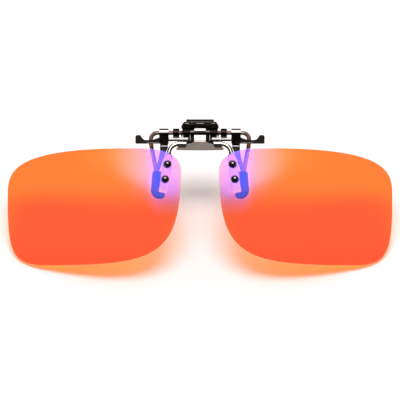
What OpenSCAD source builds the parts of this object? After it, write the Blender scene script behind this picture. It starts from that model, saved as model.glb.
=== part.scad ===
// Flip-up clip-on sun lenses: two tinted lenses on a hinged bridge, carried by a
// sprung clamp whose four soft pads grip a pair of spectacle lenses.
// Millimetres. +X is the wearer's left, -Y the front, +Z up.
// The origin is the middle of the four pads, in the plane of the gripped lenses.

/* [Lenses] */
// Width of one lens
lens_w = 60; // [52:1:66]
// Height of one lens
lens_h = 40.6; // [34:0.2:46]
// Gap between the two lenses
lens_gap = 13.2; // [11:0.2:18]
// Thickness of a lens
lens_t = 1.1; // [0.8:0.1:2]
// Radius of the front face of a lens
lens_r = 200; // [130:10:400]
// Top of a lens below the axle
lens_drop = 5.3; // [5:0.1:9]
// Back of a lens at its rivets, in front of the gripped lens
lens_stand = 5; // [4.9:0.1:8]

/* [Lens rivets] */
// Distance of the rivets' middle from the nasal edge of the lens
rivet_inset = 5.15; // [4:0.05:8]
// Distance of the rivets' middle from the top edge of the lens
rivet_drop = 8.25; // [7:0.05:14]
// Distance between the two rivets of a lens
rivet_pitch = 5.25; // [4:0.05:8]
// Lean of the line through the rivets
rivet_lean = 8.7; // [0:0.1:12]
// Diameter of a rivet head
rivet_head_d = 2.7; // [2:0.1:3.2]
// Height of a rivet head
rivet_head_h = 1; // [0.6:0.1:1.3]
// Diameter of a rivet shank
rivet_d = 1.2; // [0.8:0.1:1.6]
// Diameter of a closed rivet tail
rivet_tail_d = 1.9; // [1.7:0.1:2.4]
// Thickness of a closed rivet tail
rivet_tail_h = 0.35; // [0.2:0.05:0.4]

/* [Lens arms] */
// Diameter of the wire of a lens arm
arm_d = 1.5; // [1.2:0.1:1.6]
// Radius of the bend of a lens arm, on the wire's middle
arm_bend = 2.4; // [2:0.1:2.5]
// Width of the flattened foot behind the lens
foot_w = 3.26; // [2.8:0.02:4]
// Thickness of the flattened foot
foot_t = 0.6; // [0.4:0.1:0.8]
// Length of the flattened foot
foot_len = 13.2; // [12:0.1:16]
// Length of the foot above the rivets' middle
foot_up = 5.9; // [4.8:0.1:7]

/* [Flip bridge] */
// Thickness of the bridge plate
bridge_t = 0.8; // [0.6:0.1:1]
// Middle of the bridge plate in front of the axle
bridge_front = 0.6; // [0.4:0.1:1]
// Top edge of the bridge plate below the axle
bridge_top = 2.7; // [2.5:0.1:3]
// Lower edge of the bridge plate below the axle
bridge_low = 6.1; // [5.9:0.1:7]
// Half width over the wings of the bridge plate
wing_x = 8.2; // [8.1:0.1:9]
// Height of a wing at its tip
wing_h = 1.05; // [0.8:0.05:1.1]
// Half of the clear width between the two ears
ear_gap = 2; // [1.6:0.1:2.2]
// Thickness of an ear along the axle
ear_t = 1.35; // [1:0.05:1.5]
// Radius of the round head of an ear
ear_r = 1.45; // [1.35:0.05:1.5]
// Depth of the detent flats cut on an ear
ear_flat = 0.15; // [0.05:0.05:0.25]
// Angle through which the lenses flip up
flip_angle = 100; // [80:1:110]
// Diameter of a ferrule
ferrule_d = 2.1; // [2:0.05:2.3]
// Length of a ferrule
ferrule_len = 3.1; // [2.8:0.1:3.2]
// Middle of a ferrule below the axle
ferrule_drop = 3.86; // [3.8:0.02:4]
// Inner end of a ferrule from the centre
ferrule_x = 4.7; // [4.5:0.1:5]

/* [Axle wire] */
// Diameter of the axle wire
wire_d = 1.45; // [1.2:0.05:1.6]
// Height of the axle above the middle of the pads
axle_up = 18.1; // [17:0.1:21]
// Axle in front of the gripped lens
axle_front = 3; // [2.6:0.1:4]
// Legs of the wire from the centre
leg_x = 16.8; // [16:0.1:19]
// Radius of the bend from axle to leg
leg_bend = 2.4; // [1.8:0.1:2.6]
// Radius of the other bends of a leg
claw_bend = 1.8; // [1.2:0.1:2]
// Backward lean of the upper part of a leg
leg_lean = 25; // [15:1:35]
// Height of the upper part of a leg
neck_h = 3.6; // [3.3:0.1:4.4]
// Room behind the gripped lens for its rim
rim_back = 3.4; // [3:0.1:4]
// Height of the top of the rim room above the middle of the pads
rim_top = 12; // [11:0.1:12.3]
// Height of the knee where a leg turns in to its pad
knee_up = 7.6; // [7:0.1:8.4]
// Inward slope of a leg over its height
leg_slope = 0.19; // [0.1:0.01:0.25]

/* [Rear sleeves] */
// Diameter of a rear sleeve
rear_sleeve_d = 2.7; // [2.4:0.1:2.9]
// Top of a rear sleeve above the middle of the pads
rear_sleeve_up = 4.4; // [3.6:0.1:5]
// Lower end of a rear sleeve below the middle of the pads
rear_sleeve_low = 4.75; // [4:0.05:6]
// Outward slope of a rear sleeve
rear_sleeve_slope = 0.06; // [0:0.01:0.12]
// Radius of the hook at the end of a leg, on the wire's middle
hook_r = 1.5; // [1.5:0.05:1.8]
// Turn of the hook
hook_angle = 105; // [80:1:120]
// Straight tip of the hook
hook_tip = 0.3; // [0.2:0.05:0.5]
// Straight of a leg above its rear sleeve
sleeve_lead = 0.6; // [0.4:0.1:0.9]
// Gap between front and rear pads with nothing gripped
pad_gap = 0.3; // [0.2:0.05:0.6]

/* [Front legs] */
// Thickness of a flat front leg
fleg_t = 0.7; // [0.5:0.05:0.9]
// Width of a front leg below its knuckle
fleg_w = 2.3; // [1.8:0.1:2.6]
// Width of a front leg in its sleeve
toe_w = 1.4; // [1:0.1:1.6]
// Shoulder of a front leg from the centre
shoulder_x = 12.7; // [12.6:0.05:13]
// Sleeve of a front leg from the centre, at its top
toe_x = 14.87; // [14.4:0.01:15.4]
// Outward lean of the front sleeves
toe_lean = 7.7; // [3:0.1:10]
// Bow of a front leg in front of the axle
bow_front = 0.1; // [0:0.05:0.3]
// Height at which the bow ends
bow_low = 8.2; // [7.6:0.1:9]
// Radius of the bends of a front leg, on the strip's middle
fleg_bend = 1.2; // [0.8:0.1:1.5]
// Root of a front leg behind the axle
fleg_root = 0.6; // [0.4:0.1:0.8]
// Height of the slanted root of a front leg
fleg_slant = 1.2; // [1:0.1:1.6]
// Distance from a front leg's root to its widest place
fleg_neck = 2.5; // [2.2:0.1:3]

/* [Front sleeves] */
// Width of a front sleeve
front_sleeve_w = 2.7; // [2.4:0.05:3]
// Depth of a front sleeve, front to back
front_sleeve_t = 2.2; // [1.8:0.1:2.4]
// Rounding of the edges of a front sleeve
front_sleeve_r = 0.8; // [0.3:0.05:0.85]
// Top of a front sleeve above the middle of the pads
front_sleeve_up = 4.85; // [4:0.05:5.2]
// Length of a front sleeve
front_sleeve_len = 7.35; // [6:0.05:9]
// Wall at the closed lower end of a front sleeve
front_sleeve_end = 0.5; // [0.3:0.1:1]

/* [Front clamp] */
// Thickness of the front plate
plate_t = 0.5; // [0.4:0.05:0.55]
// Front plate behind the axle
plate_back = 1.5; // [1.45:0.05:1.6]
// Half width of the webs at their outer edge
web_x = 5.9; // [5.6:0.05:5.95]
// Height of the strips from web to knuckle
strip_h = 1.05; // [0.8:0.05:1.2]
// Top of the strips below the axle
strip_top = 1.65; // [1.6:0.05:1.8]
// Half width of the front finger tab at its foot
tab_x = 6.48; // [6.2:0.02:7.5]
// Half width of the front finger tab at its top
tab_top_x = 5.6; // [4.8:0.1:6]
// Thickness of the front finger tab
tab_t = 0.7; // [0.5:0.05:0.9]
// Front face of the finger tab in front of the axle
tab_front = 1.5; // [1.4:0.05:1.7]
// Lower edge of the finger tab above the axle
tab_low = 1.65; // [1.6:0.05:1.9]
// Top edge of the front finger tab above the axle
tab_high = 3.9; // [3.5:0.05:5]
// Thickness of the shelf that joins tab and webs
shelf_t = 0.65; // [0.4:0.05:0.8]
// Inner radius of the folds of the front plate
fold_r = 0.25; // [0.15:0.05:0.35]
// Rounding of the corners of the finger tabs
tab_r = 0.9; // [0.4:0.1:1]
// Rounding where one edge of a stamping runs into another
edge_r = 0.4; // [0.2:0.05:0.5]
// Height of the pressed ribs on the front tab
rib_h = 0.22; // [0.1:0.02:0.3]
// Width of a pressed rib, up the tab
rib_w = 0.6; // [0.4:0.05:0.8]
// Length of the middle rib
mid_rib_len = 3; // [2:0.1:4]
// Length of a side rib
side_rib_len = 1.8; // [1:0.1:2]
// Middle of a side rib from the centre
side_rib_x = 4.5; // [4:0.1:4.6]

/* [Knuckles and rest bars] */
// Inner face of a knuckle from the centre
knuckle_x = 10.9; // [10.6:0.05:11.2]
// Width of a knuckle along the axle
knuckle_w = 3.25; // [3:0.05:3.5]
// Radius of the rolled top of a knuckle
knuckle_r = 1.37; // [1.3:0.01:1.5]
// Front face of the knuckle block in front of the axle
knuckle_front = 1.2; // [1.1:0.05:1.3]
// Lower face of a knuckle below the axle
knuckle_low = 3.75; // [3.6:0.05:4]
// Outer end of a rest bar from the centre
bar_x = 22.4; // [21:0.1:25]
// Height of a rest bar
bar_h = 1.25; // [1:0.05:1.5]
// Thickness of a rest bar
bar_t = 0.8; // [0.6:0.05:0.9]
// Middle of a rest bar in front of the axle
bar_front = 0.55; // [0.5:0.05:0.7]
// Height of the flared end of a rest bar
flare_h = 3; // [2:0.1:4]
// Length of the flared end of a rest bar
flare_len = 3.9; // [3:0.1:4.5]
// Thickness of the flared end of a rest bar
flare_t = 1.5; // [1:0.1:1.8]
// Width of the knob at the flared end of a rest bar
knob_w = 1.7; // [1.4:0.1:2]
// Rounding of the knob
knob_r = 0.75; // [0.4:0.05:0.8]
// Rise of a rest bar at its root
bar_rise = 0.9; // [0.5:0.1:1]

/* [Rear lever] */
// Inner face of a collar from the centre
collar_x = 7.2; // [7.1:0.05:7.5]
// Width of a collar along the axle
collar_w = 2.15; // [1.8:0.05:2.4]
// Radius of a collar
collar_r = 1.5; // [1.3:0.05:1.55]
// Rear lever plate behind the axle
lever_back = 2.9; // [2.8:0.05:3.4]
// Thickness of the rear lever plate
lever_t = 0.7; // [0.5:0.05:0.9]
// Half width of the rear finger tab at its lip
lever_x = 4.85; // [4.4:0.05:5.5]
// Half width of the rear finger tab at its waist
lever_waist = 4; // [3.6:0.1:4.3]
// Height of the lip of the rear finger tab
lip_h = 0.45; // [0.3:0.05:0.8]
// Top of the rear finger tab above the axle
lever_high = 4.8; // [4.2:0.05:6]
// Half height of the strip behind the axle
lever_strip = 0.65; // [0.5:0.05:0.75]
// Angle through which the rear jaw opens
squeeze_angle = 22; // [10:1:22]

/* [Springs] */
// Diameter of the wire of a torsion spring
spring_wire = 0.45; // [0.3:0.05:0.5]
// Outer diameter of a torsion spring
spring_d = 2.76; // [2.6:0.02:2.9]
// Pitch of the coils of a torsion spring
spring_pitch = 0.92; // [0.9:0.01:0.94]
// Whole turns of a torsion spring
spring_turns = 2; // [1:1:2]
// Thickness of the detent leaf
leaf_t = 0.15; // [0.1:0.01:0.2]

/* [Fits] */
// Running clearance of a bore on the axle, on the radius
run_gap = 0.05; // [0.02:0.01:0.08]
// Clearance of a fixed fit, on each side
fix_gap = 0.02; // [0.01:0.01:0.04]
// Side clearance between pieces that turn past each other
side_gap = 0.1; // [0.08:0.01:0.15]

/* [Hidden] */
// Facets of small round features and of the large spheres
$fn = 48;
SPHERE_FN = 240;
// Points along each quarter of a lens outline
QUARTER = 20;
// Steps of each rounded corner of a stamped outline
CORNER = 6;
// Degrees between two points of a coil
COIL_STEP = 15;
// Half length of the seam ring between a straight and a bend of a wire
seam = 0.01;
// Overrun of a cutting form past the face that it cuts
past = 1;

// Axle and bores
ay = -axle_front;
az = axle_up;
wire_r = wire_d / 2;
run_r = wire_r + run_gap;
fix_r = wire_r + fix_gap;

// Lens box, and the four curves of the outline in it: each from point to point with the
// pulls at its two ends, as shares of half the width and half the height
lens_cx = lens_gap / 2 + lens_w / 2;
lens_cz = az - lens_drop - lens_h / 2;
hw = lens_w / 2;
hh = lens_h / 2;
LENS_CURVES = [
    [[0.467, 1], [0.2, 0], [0, 0.345], [1, 0.616]],
    [[1, 0.616], [0, -1.5], [1.25, 0], [-0.567, -1]],
    [[-0.567, -1], [-0.417, 0], [0, -0.926], [-1, 0.222]],
    [[-1, 0.222], [0, 0.42], [-1.367, 0], [0.467, 1]]];

// Rivet places on a lens, from the middle of its box, nasal side positive
rivet_mid = [hw - rivet_inset, hh - rivet_drop];
lean_dir = [-sin(rivet_lean), -cos(rivet_lean)];
rivet_at = [for (s = [-1, 1]) rivet_mid + lean_dir * s * rivet_pitch / 2];

// Centre of the lens spheres
back_r = lens_r - lens_t;
mid_sq = rivet_mid[0] * rivet_mid[0] + rivet_mid[1] * rivet_mid[1];
lens_cy = -lens_stand + sqrt(back_r * back_r - mid_sq);
lens_c = [lens_cx, lens_cy, lens_cz];

// Rear legs: places of the bends on the left side
neck_y = ay + neck_h * tan(leg_lean);
rear_y = pad_gap / 2 + rear_sleeve_d / 2;
lens_top = az - lens_drop;
function slope_x(z) = leg_x - leg_slope * max(0, lens_top - z);
sleeve_in = [slope_x(rear_sleeve_up + sleeve_lead), rear_y, rear_sleeve_up + sleeve_lead];
hook_z = -rear_sleeve_low + rear_sleeve_d / 2 + hook_r;
hook_x = sleeve_in[0] + rear_sleeve_slope * (sleeve_in[2] - hook_z);
hook_t = hook_r * tan(hook_angle / 2);
down = unit([rear_sleeve_slope, 0, -1]);
hook_corner = [hook_x, rear_y, hook_z] + down * hook_t;
hook_end = hook_corner + turn_y(down, hook_angle) * (hook_t + hook_tip);
leg_points = [
    [leg_x, ay, az],
    [leg_x, neck_y, az - neck_h],
    [slope_x(rim_top), rim_back, rim_top],
    [slope_x(knee_up), rim_back, knee_up],
    sleeve_in,
    hook_corner,
    hook_end];

// Front legs and sleeves
front_y = -pad_gap / 2 - front_sleeve_t / 2;
toe_len = front_sleeve_len - front_sleeve_end;
leg_foot = az - knuckle_low;
bow_y = ay - bow_front;

// Lens arms
arm_y = ay - bridge_front;
arm_z = az - ferrule_drop;
rivet_x = lens_cx - rivet_mid[0];
rivet_z = lens_cz + rivet_mid[1];
foot_top = rivet_z + foot_up;
arm_corner = [ferrule_x + ferrule_len + arm_bend + side_gap, arm_y, arm_z];
arm_end = [rivet_x - foot_up * tan(rivet_lean) + 0.25, arm_y, foot_top - 1.2];

// Torsion springs
coil_r = (spring_d - spring_wire) / 2;
coil_x = ear_gap + ear_t + 2 * side_gap + spring_wire / 2;
seat_back = lever_back - spring_wire / 2 - fix_gap;
seat_low = 0.3;
seat_r = norm([seat_back, seat_low]);
coil_last = 360 - atan(seat_low / seat_back) - acos(coil_r / seat_r);
coil_angle = 360 * spring_turns + coil_last;

function unit(v) = v / norm(v);
function turn_y(v, a) = [v[0] * cos(a) + v[2] * sin(a), v[1], v[2] * cos(a) - v[0] * sin(a)];
function reversed(p) = [for (i = [len(p) - 1:-1:0]) p[i]];

// Steps that bend a wire through corner points p with the radii r: each step is the
// straight before a bend, the bend's angle and radius, and the roll to the next bend
function bend_angle(p, i) = acos(unit(p[i] - p[i - 1]) * unit(p[i + 1] - p[i]));
function bend_cut(p, r, i) = i < 1 || i > len(p) - 2 ? 0 : r[i] * tan(bend_angle(p, i) / 2);
function straight(p, r, i) = norm(p[i + 1] - p[i]) - bend_cut(p, r, i) - bend_cut(p, r, i + 1);
// Direction square to the wire, before and after the bend at corner i, towards its middle
function bend_in(p, i) = let (a = unit(p[i] - p[i - 1]), b = unit(p[i + 1] - p[i])) unit(b - a * (a * b));
function bend_out(p, i) = let (a = unit(p[i] - p[i - 1]), b = unit(p[i + 1] - p[i])) unit(b * (a * b) - a);
function roll(p, i) = i > len(p) - 3 ? 0 : let (
    m = bend_out(p, i),
    n = bend_in(p, i + 1),
    w = unit(p[i + 1] - p[i])) atan2(cross(m, n) * w, m * n);
function bend_steps(p, r) = concat(
    [for (i = [1:len(p) - 2]) [straight(p, r, i - 1), bend_angle(p, i), r[i], roll(p, i)]],
    [[straight(p, r, len(p) - 2)]]);

// Round wire that starts along Z and bends towards X; children sit at its end. A seam
// ring, proud by a hair, joins each straight to its bend.
module bent_wire(steps, d, i = 0) {
    h = steps[i][0];
    if (h > 0.001) cylinder(d = d, h = h);
    translate([0, 0, h]) {
        seam_ring(d);
        if (i < len(steps) - 1) {
            angle = steps[i][1];
            r = steps[i][2];
            translate([r, 0, 0]) rotate([90, 0, 180])
                rotate_extrude(angle = angle) translate([r, 0]) circle(d = d);
            translate([r, 0, 0]) rotate([0, angle, 0]) translate([-r, 0, 0]) rotate([0, 0, steps[i][3]]) {
                seam_ring(d);
                bent_wire(steps, d, i + 1) children();
            }
        } else children();
    }
}

module seam_ring(d) {
    translate([0, 0, -seam]) cylinder(r = d / 2 + seam / 2, h = 2 * seam);
}

// Places children with their axes along x, y and z at the point p
module frame_at(p, x, y, z) {
    multmatrix([
        [x[0], y[0], z[0], p[0]],
        [x[1], y[1], z[1], p[1]],
        [x[2], y[2], z[2], p[2]],
        [0, 0, 0, 1]]) children();
}

// Closed tube of six sides swept through computed points
module swept_tube(p, d) {
    sides = 6;
    n = len(p);
    dirs = [for (i = [0:n - 1]) unit(p[min(i + 1, n - 1)] - p[max(i - 1, 0)])];
    rings = [for (i = [0:n - 1]) let (u = unit(cross(dirs[i], [1, 0, 0])), v = cross(dirs[i], u))
        for (k = [0:sides - 1]) p[i] + (u * cos(360 * k / sides) + v * sin(360 * k / sides)) * d / 2];
    walls = [for (i = [0:n - 2]) for (k = [0:sides - 1])
        let (a = i * sides, b = a + sides, j = (k + 1) % sides)
        each [[a + k, b + k, b + j], [a + k, b + j, a + j]]];
    last = (n - 1) * sides;
    caps = [for (k = [1:sides - 2]) each [[0, k, k + 1], [last, last + k + 1, last + k]]];
    polyhedron(points = rings, faces = concat(walls, caps), convexity = 6);
}

// Draws a left piece as modelled, and a right piece as its mirror image
module side_of(left) {
    if (left) children();
    else mirror([1, 0, 0]) children();
}

// Draws children twice, mirrored across the middle
module both() {
    children();
    mirror([1, 0, 0]) children();
}

// Moves children, modelled about the axle, to the axle
module at_axle() {
    translate([0, ay, az]) children();
}

// Cylinder along X from x0 to x1
module barrel(x0, x1, r) {
    translate([x0, 0, 0]) rotate([0, 90, 0]) cylinder(r = r, h = x1 - x0);
}

// Box given by its lowest and highest corners
module block(a, b) {
    translate(a) cube(b - a);
}

// Outline in the front view, X across and Z up, given its thickness from y0 to y1
module front_sheet(y0, y1) {
    translate([0, y1, 0]) rotate([90, 0, 0]) linear_extrude(y1 - y0) children();
}

// Outline in the side view, Y across and Z up, drawn out from x0 to x1
module side_sheet(x0, x1) {
    translate([x0, 0, 0]) rotate([90, 0, 90]) linear_extrude(x1 - x0) children();
}

// Rectangle centred on x with its corners rounded by arcs
module round_rect(size, r) {
    for (s = [-1, 1], t = [-1, 1]) translate([s * (size[0] / 2 - r), t * (size[1] / 2 - r)]) circle(r = r);
    square([size[0] - 2 * r, size[1]], center = true);
    square([size[0], size[1] - 2 * r], center = true);
}

// Arc that rounds corner c between p and q, with a smaller radius where a side is short
function corner_arc(p, c, q, r) = r <= 0 ? [c] : let (
    u = unit(p - c),
    v = unit(q - c),
    half = acos(u * v) / 2,
    cut = min(r / tan(half), 0.49 * min(norm(p - c), norm(q - c))),
    m = c + unit(u + v) * cut / cos(half),
    s = c + u * cut - m,
    turn = sign(cross(v, u)) * (180 - 2 * half))
    [for (i = [0:CORNER]) let (a = turn * i / CORNER)
        m + [s[0] * cos(a) - s[1] * sin(a), s[0] * sin(a) + s[1] * cos(a)]];

// Closed outline from corners given as place, place and radius
function place(q) = [q[0], q[1]];
function rounded(p) = [for (i = [0:len(p) - 1])
    each corner_arc(place(p[(i + len(p) - 1) % len(p)]), place(p[i]), place(p[(i + 1) % len(p)]), p[i][2])];

// Whole outline from the corners of its right half
function mirrored(half) = concat(half, reversed([for (q = half) [-q[0], q[1], q[2]]]));

// Corners of a strip of thickness t along a bent centre line, bent on the radius r
function strip_normal(p, i) = let (
    a = i > 0 ? unit(p[i] - p[i - 1]) : unit(p[1] - p[0]),
    b = i < len(p) - 1 ? unit(p[i + 1] - p[i]) : a,
    m = unit(a + b)) [-m[1], m[0]] / (m * a);
function strip_turn(p, i) = i < 1 || i > len(p) - 2 ? 0 : sign(cross(p[i] - p[i - 1], p[i + 1] - p[i]));
function strip_side(p, t, s, r) = [for (i = [0:len(p) - 1])
    let (k = strip_turn(p, i)) concat(p[i] + strip_normal(p, i) * s * t / 2, k == 0 ? 0 : r - s * k * t / 2)];
function strip_outline(p, t, r) = concat(strip_side(p, t, 1, r), reversed(strip_side(p, t, -1, r)));

// Front clamp: the stamped plate with its finger tab, webs and strips

// One stamping: cut to its outline in the front view and folded in the side view
module front_plate() {
    inner = ear_gap + ear_t + side_gap;
    outer = knuckle_x + knuckle_w;
    low = -strip_top - strip_h;
    shelf_top = tab_low + shelf_t;
    half = [[inner, tab_low, 0], [inner, low, 0], [outer, low, 0], [outer, -strip_top, 0],
        [web_x, -strip_top, edge_r], [web_x, tab_low - tab_x + web_x, edge_r],
        [tab_x, tab_low, 0], [tab_x, shelf_top, tab_r], [tab_top_x, tab_high, tab_r]];
    fold = [[-tab_front, tab_high + past, 0], [-tab_front, tab_low, fold_r + shelf_t],
        [plate_back, tab_low, fold_r], [plate_back, low - past, 0],
        [plate_back + plate_t, low - past, 0], [plate_back + plate_t, shelf_top, fold_r + plate_t],
        [tab_t - tab_front, shelf_top, fold_r], [tab_t - tab_front, tab_high + past, 0]];
    color("dimgray") at_axle() {
        intersection() {
            side_sheet(-outer - past, outer + past) polygon(rounded(fold));
            front_sheet(-tab_front - past, plate_back + plate_t + past) polygon(rounded(mirrored(half)));
        }
        tab_ribs();
    }
}

module tab_ribs() {
    rib_z = (tab_low + shelf_t + tab_high) / 2;
    front_sheet(-tab_front - rib_h, -tab_front) {
        translate([0, rib_z]) round_rect([mid_rib_len, rib_w], rib_w * 0.4);
        for (s = [-1, 1]) translate([s * side_rib_x, rib_z]) round_rect([side_rib_len, rib_w], rib_w * 0.4);
    }
}

module knuckle(left) {
    color("black") side_of(left) at_axle() difference() {
        union() {
            barrel(knuckle_x, knuckle_x + knuckle_w, knuckle_r);
            block([knuckle_x, -knuckle_front, -knuckle_low], [knuckle_x + knuckle_w, plate_back, 0]);
        }
        barrel(knuckle_x - past, knuckle_x + knuckle_w + past, run_r);
    }
}

module rest_bar(left) {
    x0 = knuckle_x + knuckle_w;
    low = -knuckle_low;
    top = low + bar_h;
    high = low + flare_h;
    flare_x = bar_x - flare_len;
    bar = [[x0, low, 0], [bar_x, low, edge_r], [bar_x, top, edge_r], [x0 + 2 * bar_h, top, bar_rise],
        [x0, top + bar_rise, 0]];
    flare = [[flare_x, low, 0], [bar_x, low, edge_r], [bar_x, high, knob_r], [bar_x - knob_w, high, knob_r],
        [(flare_x + bar_x - knob_w) / 2, top, flare_h - bar_h], [flare_x, top, 0]];
    color("dimgray") side_of(left) at_axle() {
        front_sheet(-bar_front - bar_t / 2, -bar_front + bar_t / 2) polygon(rounded(bar));
        front_sheet(-bar_front - flare_t / 2, -bar_front + flare_t / 2) polygon(rounded(flare));
    }
}

module front_leg(left) {
    neck_w = fleg_w * 0.75;
    wide_z = leg_foot - fleg_neck;
    end_z = front_sleeve_up + 0.3;
    side = [[ay + fleg_root, leg_foot], [bow_y, leg_foot - fleg_slant], [bow_y, bow_low],
        [front_y, front_sleeve_up + 1], [front_y, end_z]];
    toe_edge = toe_x - 0.3 * tan(toe_lean);
    color("dimgray") side_of(left) {
        intersection() {
            side_sheet(shoulder_x - fleg_w, toe_x + fleg_w)
                polygon(rounded(strip_outline(side, fleg_t, fleg_bend)));
            front_sheet(bow_y - fleg_w, front_y + fleg_w) polygon([
                [shoulder_x - neck_w / 2, leg_foot], [shoulder_x - fleg_w / 2, wide_z],
                [toe_edge - toe_w / 2, end_z], [toe_edge + toe_w / 2, end_z],
                [shoulder_x + fleg_w / 2, wide_z], [shoulder_x + neck_w / 2, leg_foot]]);
        }
        at_front_sleeve() block([-toe_w / 2, -fleg_t / 2, -toe_len], [toe_w / 2, fleg_t / 2, 0.3]);
    }
}

// Places children at the top of the left front sleeve, with Z along it
module at_front_sleeve() {
    translate([toe_x, front_y, front_sleeve_up]) rotate([0, -toe_lean, 0]) children();
}

module front_sleeve(left) {
    slot_w = toe_w / 2 + fix_gap;
    slot_t = fleg_t / 2 + fix_gap;
    color("#222222") side_of(left) at_front_sleeve() difference() {
        translate([0, 0, -front_sleeve_len]) linear_extrude(front_sleeve_len)
            round_rect([front_sleeve_w, front_sleeve_t], front_sleeve_r);
        block([-slot_w, -slot_t, -toe_len - fix_gap], [slot_w, slot_t, past]);
    }
}

// Torsion spring: a leg on the front plate, the coil, and a leg on the rear lever
spring_path = concat(
    [[coil_x, coil_r, -strip_top - strip_h / 2], [coil_x, coil_r, -strip_top / 2]],
    [for (i = [0:ceil(coil_angle / COIL_STEP)]) let (a = min(i * COIL_STEP, coil_angle))
        [coil_x + spring_pitch * a / 360, coil_r * cos(a), coil_r * sin(a)]],
    [[coil_x + spring_pitch * coil_angle / 360, seat_back, -seat_low]]);
// Least distance between turns, from points at least half a turn apart along the coil
apart = 180 / COIL_STEP + 1;
turn_gap = min([for (i = [0:len(spring_path) - 1 - apart], j = [i + apart:len(spring_path) - 1])
    norm(spring_path[i] - spring_path[j])]) - spring_wire;

module torsion_spring(left) {
    color("silver") side_of(left) at_axle() swept_tube(spring_path, spring_wire);
}

module detent_leaves() {
    face = ear_r - ear_flat + fix_gap;
    x0 = ear_gap + side_gap / 2;
    x1 = ear_gap + ear_t - side_gap / 2;
    color("silver") at_axle() both() side_sheet(x0, x1) polygon([
        [face, -ear_r * 0.8], [face + leaf_t, -ear_r * 0.8], [face + leaf_t, tab_low],
        [face - 0.5, tab_low], [face - 0.5, tab_low - leaf_t], [face, tab_low - leaf_t]]);
}

// Rear jaw

module axle_wire() {
    radii = [0, leg_bend, claw_bend, claw_bend, claw_bend, claw_bend, hook_r, 0];
    points = concat([[leg_x - leg_bend, ay, az]], leg_points);
    steps = bend_steps(points, radii);
    color("#3a2a22") {
        at_axle() barrel(-leg_x + leg_bend, leg_x - leg_bend, wire_r);
        both() translate(points[0]) rotate([leg_lean, 0, 0]) rotate([0, 90, 0])
            bent_wire(steps, wire_d);
    }
}

module rear_lever() {
    x1 = collar_x + collar_w;
    window = [2 * ear_gap, tab_low - lever_strip];
    half = [[x1, -lever_strip, 0], [x1, lever_strip, 0], [tab_x, lever_strip, tab_r],
        [lever_waist, lever_high - 3 * lip_h, tab_r], [lever_x, lever_high - lip_h, edge_r / 2],
        [lever_x, lever_high, edge_r]];
    color("dimgray") at_axle() difference() {
        union() {
            front_sheet(lever_back, lever_back + lever_t)
                polygon(rounded(mirrored(half)));
            both() {
                barrel(collar_x, x1, collar_r);
                block([collar_x, 0, -lever_strip], [x1, lever_back + lever_t / 2, lever_strip]);
            }
        }
        barrel(-x1 - past, x1 + past, fix_r);
        front_sheet(lever_back - past, lever_back + lever_t + past)
            translate([0, (lever_strip + tab_low) / 2]) round_rect(window, edge_r);
    }
}

module rear_sleeve(left) {
    sleeve_top = hook_corner + down * (rear_sleeve_up - hook_corner[2]) / down[2];
    steps = bend_steps([sleeve_top, hook_corner, hook_end], [0, hook_r, 0]);
    color("#222222") side_of(left) translate(sleeve_top) rotate([0, 180 - atan(rear_sleeve_slope), 0])
        difference() {
            bent_wire(steps, rear_sleeve_d) sphere(d = rear_sleeve_d);
            bent_wire(steps, wire_d + 2 * fix_gap);
        }
}

// Flip unit

module flip_bridge() {
    ear_x = ear_gap + ear_t;
    wing_top = wing_h - bridge_low;
    y0 = -bridge_front - bridge_t / 2;
    y1 = -bridge_front + bridge_t / 2;
    half = [[ear_x, -bridge_top, 0], [ear_x + edge_r, -bridge_top - 2 * edge_r, edge_r],
        [ferrule_x - side_gap, -ferrule_drop, edge_r], [ferrule_x - side_gap, wing_top, 0],
        [wing_x, wing_top, edge_r / 2], [wing_x, side_gap - bridge_low, edge_r],
        [ear_gap, -bridge_low, ear_gap]];
    color("#8b7d74") at_axle() difference() {
        union() {
            front_sheet(y0, y1) polygon(rounded(mirrored(half)));
            both() ear(y0);
        }
        barrel(-ear_x - past, ear_x + past, run_r);
    }
}

module ear(y0) {
    x1 = ear_gap + ear_t;
    flat = ear_r - ear_flat;
    difference() {
        union() {
            barrel(ear_gap, x1, ear_r);
            block([ear_gap, y0, -bridge_top - 0.4], [x1, 0.7, 0]);
        }
        for (a = [0, flip_angle]) rotate([a, 0, 0])
            block([ear_gap - past, flat, -ear_r], [x1 + past, flat + past, ear_r]);
    }
}

module ferrule(left) {
    x1 = ferrule_x + ferrule_len;
    color("silver") side_of(left) at_axle() difference() {
        union() {
            translate([0, -bridge_front, -ferrule_drop]) barrel(ferrule_x, x1, ferrule_d / 2);
            block([ferrule_x, -bridge_front - bridge_t / 2, wing_h - bridge_low],
                [x1, -bridge_front + bridge_t / 2, -ferrule_drop]);
        }
        translate([0, -bridge_front, -ferrule_drop]) barrel(ferrule_x - past, x1 + past, arm_d / 2 + fix_gap);
    }
}

// Shell between two radii about the centre of the lens spheres
module lens_shell(r0, r1) {
    translate(lens_c) difference() {
        sphere(r = r1, $fn = SPHERE_FN);
        sphere(r = r0, $fn = SPHERE_FN);
    }
}

// Places children on the back face of the left lens at a rivet, with Z out of its front
module at_rivet(q) {
    nx = -q[0] / back_r;
    nz = q[1] / back_r;
    n = [nx, -sqrt(1 - nx * nx - nz * nz), nz];
    x = unit(cross([0, 0, 1], n));
    frame_at(lens_c + n * back_r, x, cross(n, x), n) children();
}

module rivet_holes() {
    for (q = rivet_at) at_rivet(q) translate([0, 0, -foot_t - past])
        cylinder(d = rivet_d + 2 * fix_gap, h = foot_t + lens_t + 2 * past);
}

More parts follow.
